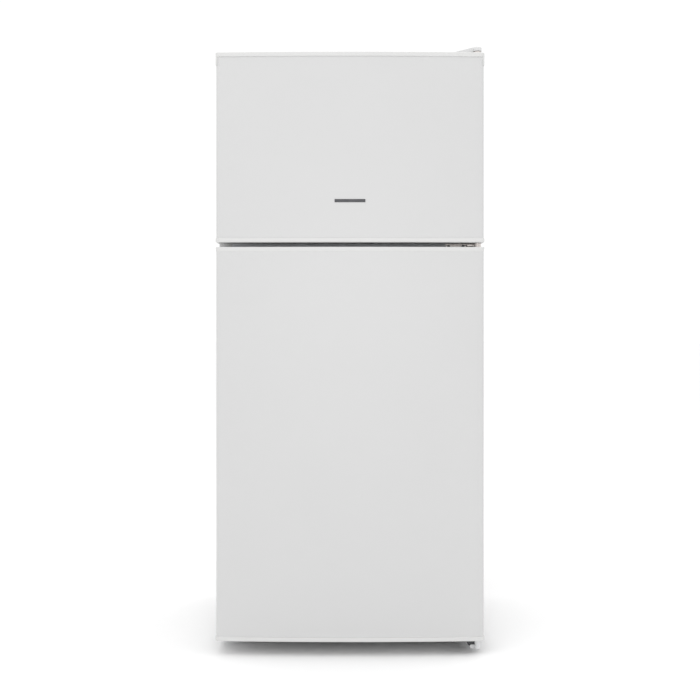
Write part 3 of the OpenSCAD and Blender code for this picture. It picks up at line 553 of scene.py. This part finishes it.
def build_cap(prefix, end, body, nose, foot):
    """One end cap: a soft-edged lip with a bore for the hinge bush."""
    door = door_facts(prefix)
    upper = end == "top"
    seam = door["body"][1] if upper else door["body"][0]
    outer = door["z"][1] if upper else door["z"][0]
    way = 1 if upper else -1
    shape = bmesh.new()
    loft(shape, [at_level(door_plan(door, grow), seam + way * height)
                 for grow, height in cap_profile(abs(outer - seam), nose, foot)],
         cap_start=True, cap_end=True)
    node_name = f"{prefix}_{end}_cap"
    piece = finish_mesh(f"{prefix}_{end}_end_cap", shape, "cap_plastic", body, [node_name])
    bore = bmesh.new()
    lathe(bore, [(BUSH_R, min(seam, outer) - 4 * MM), (BUSH_R, max(seam, outer) + 4 * MM)],
          (HINGE.x, HINGE.y, 0.0))
    cut(piece, [bore])
    extra = bmesh.new()
    deep = outer - way * SOCKET_DEPTH
    rim = BUSH_R + SOCKET_WALL
    lathe(extra, [(BUSH_R, seam), (rim, seam), (rim, deep), (BUSH_R, deep)],
          (HINGE.x, HINGE.y, 0.0), looped=True)
    if node_name == "freezer_top_cap":
        add_tabs(extra, door, seam)
    extend(piece, extra)


def add_tabs(shape, door, seam):
    """Thin tabs that run down the door's sides from the top cap."""
    reach = 8  # points of the plan outline that a tab covers
    lower_end = door["z"][1] - TAB_H
    levels = ((0.2 * MM, lower_end), (0.9 * MM, lower_end + 0.2 * MM),
              (CAP_PROUD, lower_end + 1.2 * MM), (CAP_PROUD, seam + 1 * MM))
    for side in (1, -1):
        rings = []
        for grow, z in levels:
            outside = door_plan(door, grow)[:reach]
            inside = door_plan(door, 0.0)[:reach]
            rings.append([(side * x, y, z) for x, y in outside + inside[::-1]])
        loft(shape, rings, cap_start=True, cap_end=True)


def build_inner_panel(prefix, body, bins):
    """Vacuum-formed panel: a flat border, a raised rim and a sunk middle."""
    low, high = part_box(f"{prefix}_inner_panel")
    base = door_facts(prefix)["back"]
    rise = high.y - base
    u = (-RIM_HALF, RIM_HALF)
    z0, z1 = COMPARTMENT_Z[prefix]
    v = (z0 + RIM_GAP, z1 - RIM_GAP)
    width, soft, corner = 20 * MM, 5 * MM, 4 * MM
    rings = [round_rect("xz", (low.x, high.x), (low.z, high.z), base - 0.4 * MM, 2 * MM),
             round_rect("xz", (low.x, high.x), (low.z, high.z), base, 2 * MM)]
    turns = (arc((soft, soft), soft, 270, 180, 4) + arc((-soft, rise - soft), soft, 0, 90, 4)
             + arc((-width + soft, rise - soft), soft, 90, 180, 4)
             + arc((-width - soft, soft), soft, 0, -90, 4))
    rings += [round_rect("xz", grown(u, x), grown(v, x), base + y,
                         max(corner + x, 1.5 * MM) if x > -width / 2 else width + x + 6 * MM)
              for x, y in turns]
    shape = bmesh.new()
    loft(shape, rings, cap_end=True)
    piece = finish_mesh(f"{prefix}_door_inner_panel", shape, "liner_plastic", body,
                        [f"{prefix}_inner_panel"], facing=(0, 1, 0))
    set_wall(piece, 1.6 * MM)
    extra = bmesh.new()
    inner = RIM_HALF - width
    for name in bins:
        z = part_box(name)[0].z
        for side in (-1, 1):
            ends = sorted((side * (inner - 12 * MM), side * (inner + 1 * MM)))
            soft_block(extra, (ends[0], base - 1 * MM, z - 8 * MM),
                       (ends[1], base + 18 * MM, z - 0.05 * MM), 1.5 * MM)
    extend(piece, extra)


GASKET_SECTION = (  # (across from the outer edge, height above the door), in mm
    (0.3, 0.0), (13.7, 0.0), (14.0, 0.5), (13.6, 1.7), (11.2, 2.4), (12.6, 4.0), (10.9, 5.3),
    (13.0, 6.3), (14.0, 7.4), (14.0, 10.2), (13.5, 10.7), (0.5, 10.7), (0.0, 10.2),
    (0.0, 7.4), (2.0, 6.3), (3.4, 5.3), (1.7, 4.0), (2.8, 2.4), (0.6, 1.7), (0.0, 0.5))


def build_gasket(prefix, body):
    """Magnetic door gasket: a bellows section with mitred corners."""
    low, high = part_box(f"{prefix}_gasket")
    rings = [round_rect("xz", grown((low.x, high.x), -a * MM), grown((low.z, high.z), -a * MM),
                        low.y + h * MM, 0.5 * MM, 1) for a, h in GASKET_SECTION]
    shape = bmesh.new()
    loft(shape, rings, looped=True)
    finish_mesh(f"{prefix}_door_gasket", shape, "gasket_rubber", body, [f"{prefix}_gasket"])


def build_grip(prefix, body):
    """Recessed hand grip in the door's left edge, with a rolled lip."""
    low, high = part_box(f"{prefix}_grip")
    side, deep = low.x, high.x - 0.5 * MM
    wall, lip, proud = 1.6 * MM, 2.5 * MM, 0.5 * MM
    floor_r = 5 * MM
    profile = [(-floor_r, deep), (-0.3 * floor_r, deep - 0.3 * floor_r), (0.0, deep - floor_r),
               (0.0, side + 0.2 * MM), (lip - 0.3 * MM, side + 0.1 * MM), (lip, side - 0.1 * MM),
               (lip - 0.3 * MM, side - 0.8 * proud), (lip - 0.9 * MM, side - proud),
               (-wall + 1.4 * MM, side - proud), (-wall + 0.4 * MM, side - 0.2 * MM),
               (-wall, side + 1.2 * MM), (-wall, deep - wall - 4 * MM),
               (-wall - 1.2 * MM, deep - wall - 1.2 * MM), (-wall - 4 * MM, deep - wall)]
    shape = bmesh.new()
    loft(shape, rect_stack("yz", (low.y, high.y), (low.z, high.z), profile, GRIP_R, 5),
         cap_start=True, cap_end=True)
    finish_mesh(f"{prefix}_door_grip", shape, "grey_plastic", body, [f"{prefix}_grip"])


def open_bin(shape, low, high, wall, corner, foot, lip, draft):
    """A moulded open-topped bin: outside, rolled rim, inside and floor."""
    tall = high.z - low.z
    profile = [(-draft - lip - foot, 0.0), (-draft - lip - 0.3 * foot, 0.3 * foot * 0.6),
               (-draft - lip, foot), (-lip, tall - 5 * MM), (-0.4 * lip, tall - 4.4 * MM),
               (0.0, tall - 3.8 * MM), (0.0, tall - 0.8 * MM), (-0.7 * MM, tall),
               (-lip - wall + 0.6 * MM, tall), (-lip - wall, tall - 0.8 * MM),
               (-lip - wall - draft, foot + wall), (-lip - wall - draft - 0.3 * foot,
                                                    wall + 0.3 * foot * 0.6),
               (-lip - wall - draft - foot, wall)]
    rings = rect_stack("xy", (low.x, high.x), (low.y, high.y),
                       [(off, low.z + h) for off, h in profile], corner, 6)
    loft(shape, rings, cap_start=True, cap_end=True)


def build_balcony(node_name, body, rail):
    """Door balcony with a moulded rail along its front."""
    low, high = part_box(node_name)
    front = Vector((high.x, high.y - 1 * MM, high.z))
    shape = bmesh.new()
    open_bin(shape, low, front, 2.3 * MM, 12 * MM, 7 * MM, 1.6 * MM, 1.5 * MM)
    reach = high.x - 16 * MM
    for level in rail:
        z = low.z + level * (high.z - low.z)
        soft_block(shape, (-reach, front.y - 3.0 * MM, z - 2.2 * MM),
                   (reach, front.y + 0.6 * MM, z + 2.2 * MM), 1.2 * MM)
    finish_mesh(f"{node_name}_bin", shape, "clear_plastic", body, [node_name])


def build_crisper():
    """Vegetable drawer with a finger pull and two ribs on its front."""
    low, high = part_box("crisper")
    front = low.y + 8 * MM
    pull_half, rib_in = 70 * MM, 26 * MM
    shape = bmesh.new()
    open_bin(shape, Vector((low.x, front, low.z)), high, 2.4 * MM, 12 * MM, 7 * MM,
             1.8 * MM, 2 * MM)
    soft_block(shape, (-pull_half, low.y, high.z - 28 * MM),
               (pull_half, low.y + 3 * MM, high.z - 10 * MM), 1.2 * MM)
    soft_block(shape, (-pull_half, low.y + 0.5 * MM, high.z - 14 * MM),
               (pull_half, front + 3.2 * MM, high.z - 10.5 * MM), 1.2 * MM)
    for z in (low.z + 38 * MM, low.z + 76 * MM):
        soft_block(shape, (low.x + rib_in, front + 1.6 * MM, z - 2 * MM),
                   (high.x - rib_in, front + 5 * MM, z + 2 * MM), 1.2 * MM)
    finish_mesh("crisper_drawer", shape, "clear_plastic", "crisper", ["crisper"])


# ---------------------------------------------------------------- cabinet

def arch(half, top, bottom, inset, radius, y):
    """Points up the left side, over the top and down the right side, at an inset."""
    r = max(radius - inset, 0.02 * MM)
    x, z = half - inset, top - inset
    left = [(-cx, cz) for cx, cz in arc((x - r, z - r), r, 0, 90, 6)]
    right = [(-px, pz) for px, pz in reversed(left)]
    return [(px, y, pz) for px, pz in [(-x, bottom)] + left + right + [(x, bottom)]]


def build_wrap():
    """One painted sheet bent over the top, with folded front and rear flanges."""
    low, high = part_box("cabinet_shell")
    fold, sheet, bend = 1.6 * MM, 1 * MM, 3 * MM
    front, rear = 27 * MM, 14 * MM
    section = [(front, low.y)]
    section += arc((fold, low.y + fold), fold, 270, 180, 4)
    section += arc((fold, high.y - fold), fold, 180, 90, 4)
    section += [(rear, high.y), (rear, high.y - sheet)]
    inner = fold - sheet
    section += arc((fold, high.y - fold), inner, 90, 180, 4)
    section += arc((fold, low.y + fold), inner, 180, 270, 4)
    section += [(front, low.y + sheet)]
    shape = bmesh.new()
    loft(shape, [arch(high.x, high.z, low.z, inset, bend, y) for inset, y in section],
         closed=False, looped=True)
    finish_mesh("cabinet_wrap", shape, "cabinet_paint", "cabinet", ["cabinet_shell"])


def liner_rings(half, roof, stations):
    """Rings from the flange into the compartment: (inset, y, floor level) stations."""
    return [round_rect("xz", grown((-half, half), -inset), (level + inset, roof - inset),
                       y, max(10 * MM - inset, 1.5 * MM), 5)
            for inset, y, level in stations]


def build_liner(name, half, levels, flange, ribs, step=None):
    """Vacuum-formed liner with soft corners, a flange at the front and shelf ribs."""
    low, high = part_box(name)
    floor, roof = levels
    inner = high.y - 2 * MM
    mouth, back = 4 * MM, 10 * MM
    stations = [(mouth * (math.cos(a) - 1), low.y + mouth * (1 - math.sin(a)), floor)
                for a in (math.radians(90 - 18 * k) for k in range(6))]
    if step:
        wall_y, shelf = step
        turn, edge = 10 * MM, 6 * MM
        stations += [(0.0, wall_y - turn + turn * math.sin(a), floor + turn * (1 - math.cos(a)))
                     for a in (math.radians(15 * k) for k in range(7))]
        stations += [(0.0, wall_y + edge * (1 - math.cos(a)) + 0.3 * MM,
                      shelf - edge * (1 - math.sin(a)))
                     for a in (math.radians(15 * k) for k in range(7))]
        floor = shelf
    stations += [(back * (1 - math.cos(a)), inner - back * (1 - math.sin(a)), floor)
                 for a in (math.radians(15 * k) for k in range(7))]
    rings = [round_rect("xz", (low.x + 0.2 * MM, high.x - 0.2 * MM), flange, low.y, 1 * MM, 5)]
    rings += liner_rings(half, roof, stations)
    shape = bmesh.new()
    loft(shape, rings, cap_end=True)
    piece = finish_mesh(f"{name}_moulding", shape, "liner_plastic", "cabinet", [name],
                        facing=(0, -1, 0))
    set_wall(piece, 1.6 * MM)
    extra = bmesh.new()
    for y0, y1, z0, z1 in ribs:
        for side in (-1, 1):
            ends = sorted((side * (half - 8 * MM), side * (half + 1 * MM)))
            soft_block(extra, (ends[0], y0, z0), (ends[1], y1, z1), 1.4 * MM)
    extend(piece, extra)


def rib_pair(back, shelf_z):
    """Ribs below and above a shelf's edge, as (front, back, low, high)."""
    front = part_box("shelf_trims")[0].y
    glass, gap, rib = 4 * MM, 3 * MM, 3 * MM
    return [(front, back, shelf_z - 2 * rib, shelf_z - 0.1 * MM),
            (front, back, shelf_z + glass + gap, shelf_z + glass + gap + rib)]


def build_liners():
    freezer_half, fridge_half = 215 * MM, 225 * MM
    flange, step_y = 27 * MM, 70 * MM
    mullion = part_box("mullion_cover")
    liner_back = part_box("freezer_liner")[1].y - 4 * MM
    build_liner("freezer_liner", freezer_half, FREEZER_Z,
                (mullion[1].z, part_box("cabinet_shell")[1].z - flange),
                rib_pair(liner_back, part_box("freezer_shelf")[0].z))
    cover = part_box("crisper_cover")[0].z
    ribs = [rib for name in ("shelf_upper", "shelf_lower")
            for rib in rib_pair(liner_back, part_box(name)[0].z)]
    ribs.append(rib_pair(step_y, cover)[0])
    build_liner("fridge_liner", fridge_half, FRIDGE_Z,
                (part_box("front_rail")[1].z, mullion[0].z), ribs, step=(step_y, cover))


def build_hinge_cover():
    """Moulded cover over the top hinge: a wedge, with a round boss over the pin."""
    low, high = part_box("top_hinge_cover")
    base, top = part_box("top_hinge")[1].z - 3 * MM, high.z
    cabinet_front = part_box("cabinet_shell")[0].y
    boss_r, soft, raised = high.x - HINGE.x, 2.4 * MM, base + 4 * MM
    crest = high.x - 2 * boss_r
    roof = top - 0.2 * MM
    shape = bmesh.new()
    rear = [(low.x, base), (low.x, base + 3 * MM), (crest, roof), (high.x, roof), (high.x, base)]
    front = rear[:4] + [(high.x, raised), (crest, raised), (crest - 1 * MM, base)]
    for outline, stations in (
            (rear, ((cabinet_front - 1 * MM, 0.0), (high.y - 2.4 * MM, 0.0),
                    (high.y - 1.2 * MM, 0.35 * MM), (high.y - 0.3 * MM, 1.2 * MM),
                    (high.y, 2.2 * MM))),
            (front, ((HINGE.y, 0.0), (cabinet_front - 1 * MM, 0.0)))):
        rings = []
        for y, sink in stations:
            points = [(min(max(x, low.x + sink), high.x - sink), y,
                       min(z, max(roof - sink, base))) for x, z in outline]
            rings.append([tuple(p) for p in bend_path(points, soft, 5)])
        loft(shape, rings, cap_start=True, cap_end=True)
    boss = [(boss_r, raised), (boss_r, top - soft)]
    boss += [(boss_r - soft + r, z) for r, z in arc((0, top - soft), soft, 0, 90, 5)][1:]
    lathe(shape, boss, (HINGE.x, HINGE.y, 0.0))
    finish_mesh("top_hinge_cap", shape, "cover_plastic", "cabinet", ["top_hinge_cover"])


def build_nameplate():
    """A plain bar on the freezer door where a nameplate sits."""
    door = door_facts("freezer")
    plate_z, half_wide, half_tall = 917 * MM, 31 * MM, 3.2 * MM
    proud, sunk = 0.9 * MM, 1.2 * MM
    shape = bmesh.new()
    soft_block(shape, (-half_wide, door["front"] - proud, plate_z - half_tall),
               (half_wide, door["front"] + sunk, plate_z + half_tall), 0.8 * MM)
    finish_mesh("plain_nameplate", shape, "screw_steel", "freezer_door")


def build_dial_marks():
    """Plain raised marks round the thermostat knob."""
    low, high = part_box("thermostat_knob")
    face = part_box("control_housing")[0].y
    centre = middle_of("thermostat_knob")
    inner = (high.x - low.x) / 2 + 1.2 * MM
    marks, first, sweep = 8, -20, 220
    shape = bmesh.new()
    for number in range(marks):
        turn = math.radians(first + sweep * number / (marks - 1))
        way = Vector((math.cos(turn), 0.0, math.sin(turn)))
        spot = Vector((centre.x, face, centre.z))
        tube(shape, [spot + way * inner, spot + way * (inner + 2.6 * MM)], 0.45 * MM, 0.0, 10)
    finish_mesh("dial_marks", shape, "grey_plastic", "cabinet")


# ---------------------------------------------------------------- machine

def build_compressor():
    """Welded compressor shell with its seam, feet and pipe stubs."""
    low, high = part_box("compressor")
    centre = middle_of("compressor_mounts")
    base = low.z
    foot_y, foot_half, riser_half = 50 * MM, 11 * MM, 34 * MM
    stub_r, stub_end = 4.5 * MM, 66 * MM
    shell_mm = [(0.02, 1), (38, 1), (46, 2.6), (53, 7), (57, 14), (58, 22), (58, 60.5), (60.4, 61),
                (61, 62), (61, 66), (60.4, 67), (57.4, 67.6), (57, 70), (57, 108), (55.6, 117),
                (51, 126), (43, 133.5), (32, 138.5), (18, 141.4), (6, 142), (0.02, 142)]
    shape = bmesh.new()
    lathe(shape, [(r * MM, base + z * MM) for r, z in shell_mm], (centre.x, centre.y, 0.0),
          steps=72)
    for side in (-1, 1):
        y = centre.y + side * foot_y
        soft_block(shape, (low.x, y - foot_half, base),
                   (high.x, y + foot_half, base + 2 * MM), 0.9 * MM)
        soft_block(shape, (centre.x - riser_half, y - foot_half, base + 1 * MM),
                   (centre.x + riser_half, y + foot_half, base + 10 * MM), 1.5 * MM)
    stub = [(stub_r, -30 * MM), (stub_r, stub_end - 3 * MM),
            (stub_r + 0.7 * MM, stub_end - 1.5 * MM), (stub_r + 0.1 * MM, stub_end)]
    for back, up in ((0, 90 * MM), (-22 * MM, 50 * MM)):
        lathe(shape, stub, (centre.x, centre.y + back, base + up), axis="x", steps=24)
    finish_mesh("compressor_shell", shape, "black_steel", "cabinet", ["compressor"])


def build_lines():
    """Copper lines of the refrigerant circuit, with swept bends. The routes are in millimetres."""
    low, high = (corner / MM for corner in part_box("condenser_tube"))
    cond_y = (low.y + high.y) / 2
    z0, z1 = low.z + 2.5, high.z - 2.5
    upper, lower = (186, 136), (164, 96)  # y and z of the compressor's stubs
    stub_x, rise_x, out_x = 46, 74, 98
    cross_z, end_x, bend_x = 236, 207, 194
    side_x, side_y, turn_z = 231, 267, 216
    drier_x, drier_y, drier_z = 150, 232, (116, 205)
    capillary_y, capillary_z = drier_y - 18, drier_z[0] - 15
    niche_top = 229
    routes = (  # radius, points, bend
        (3.0, [(stub_x, *upper), (out_x, *upper), (out_x, cond_y, upper[1]),
               (out_x, cond_y, cross_z), (-end_x, cond_y, cross_z), (-end_x, cond_y, z0),
               (-bend_x, cond_y, z0)], 14),
        (2.0, [(bend_x, cond_y, z1), (side_x, cond_y, z1), (side_x, side_y, z1 - 26),
               (side_x, side_y, turn_z), (side_x, drier_y, turn_z),
               (drier_x, drier_y, turn_z), (drier_x, drier_y, drier_z[1])], 10),
        (1.5, [(drier_x, drier_y, drier_z[0]), (drier_x, drier_y, capillary_z),
               (drier_x, capillary_y, capillary_z), (drier_x, capillary_y, niche_top)], 8),
        (3.0, [(stub_x, *lower), (rise_x, *lower), (rise_x, lower[0], niche_top)], 14))
    shape = bmesh.new()
    for radius, points, bend in routes:
        tube(shape, [tuple(c * MM for c in p) for p in points], radius * MM, bend * MM)
    finish_mesh("refrigerant_tubing", shape, "copper", "cabinet", ["refrigerant_lines"])


def build_back_screws():
    """Pan-head screws round the back panel."""
    low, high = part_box("back_panel")
    sheet = high.y - 2 * MM
    side_in, end_in, pitch, top_half = 10 * MM, 20 * MM, 240 * MM, 120 * MM
    shape = bmesh.new()
    levels = [low.z + end_in + pitch * k for k in range(4)] + [high.z - end_in]
    spots = [(x, z) for x in (low.x + side_in, high.x - side_in) for z in levels]
    spots += [(x, high.z - 12 * MM) for x in (-top_half, top_half)]
    for x, z in spots:
        lathe(shape, [(4.2 * MM, sheet - 0.5 * MM), (4.2 * MM, sheet + 0.6 * MM),
                      (3.6 * MM, sheet + 1.6 * MM), (2.0 * MM, sheet + 2.1 * MM),
                      (1.2 * MM, sheet + 1.3 * MM)], (x, 0.0, z), axis="y", steps=20)
    finish_mesh("back_panel_screws", shape, "zinc_steel", "cabinet")


# ---------------------------------------------------------------- the CAD nodes that stay

def finish_cad_nodes():
    """Gives every carried-over CAD node its slot's material and softened edges."""
    slots = {s["node"]: s["material_slot"] for s in frame["record"]["subparts"]}
    for name, obj in frame["nodes"].items():
        obj.data.materials.clear()
        obj.data.materials.append(MATERIALS[slots[name]])
        if not obj.hide_render:
            soften(obj)


def soften(obj):
    """Merges the CAD mesh's flat facets and rounds its edges by a bevel."""
    if obj.data.attributes.get("custom_normal"):
        obj.data.attributes.remove(obj.data.attributes["custom_normal"])
    weld = obj.modifiers.new("weld", "WELD")
    weld.merge_threshold = 0.01 * MM
    plane = obj.modifiers.new("flat", "DECIMATE")
    plane.decimate_type = "DISSOLVE"
    plane.angle_limit = math.radians(1.0)
    bevel = obj.modifiers.new("edges", "BEVEL")
    bevel.width = 0.5 * MM
    bevel.segments = 2
    bevel.limit_method = "ANGLE"
    bevel.angle_limit = math.radians(40.0)
    bevel.use_clamp_overlap = True
    obj.modifiers.new("normals", "WEIGHTED_NORMAL").keep_sharp = True
    for face in obj.data.polygons:
        face.use_smooth = True


# ---------------------------------------------------------------- the whole refrigerator

add_camera(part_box("freezer_skin")[0].y + DOOR_BOW)
add_studio()
make_materials()
for door, bins in BINS.items():
    build_skin(door, f"{door}_door")
    build_inner_panel(door, f"{door}_door", bins)
    build_gasket(door, f"{door}_door")
    build_grip(door, f"{door}_door")
for door, end, nose, foot in CAPS:
    build_cap(door, end, f"{door}_door", nose, foot)
for name, door, rail in RAILS:
    build_balcony(name, door, rail)
build_crisper()
build_wrap()
build_liners()
build_hinge_cover()
build_nameplate()
build_dial_marks()
build_compressor()
build_lines()
build_back_screws()
finish_cad_nodes()
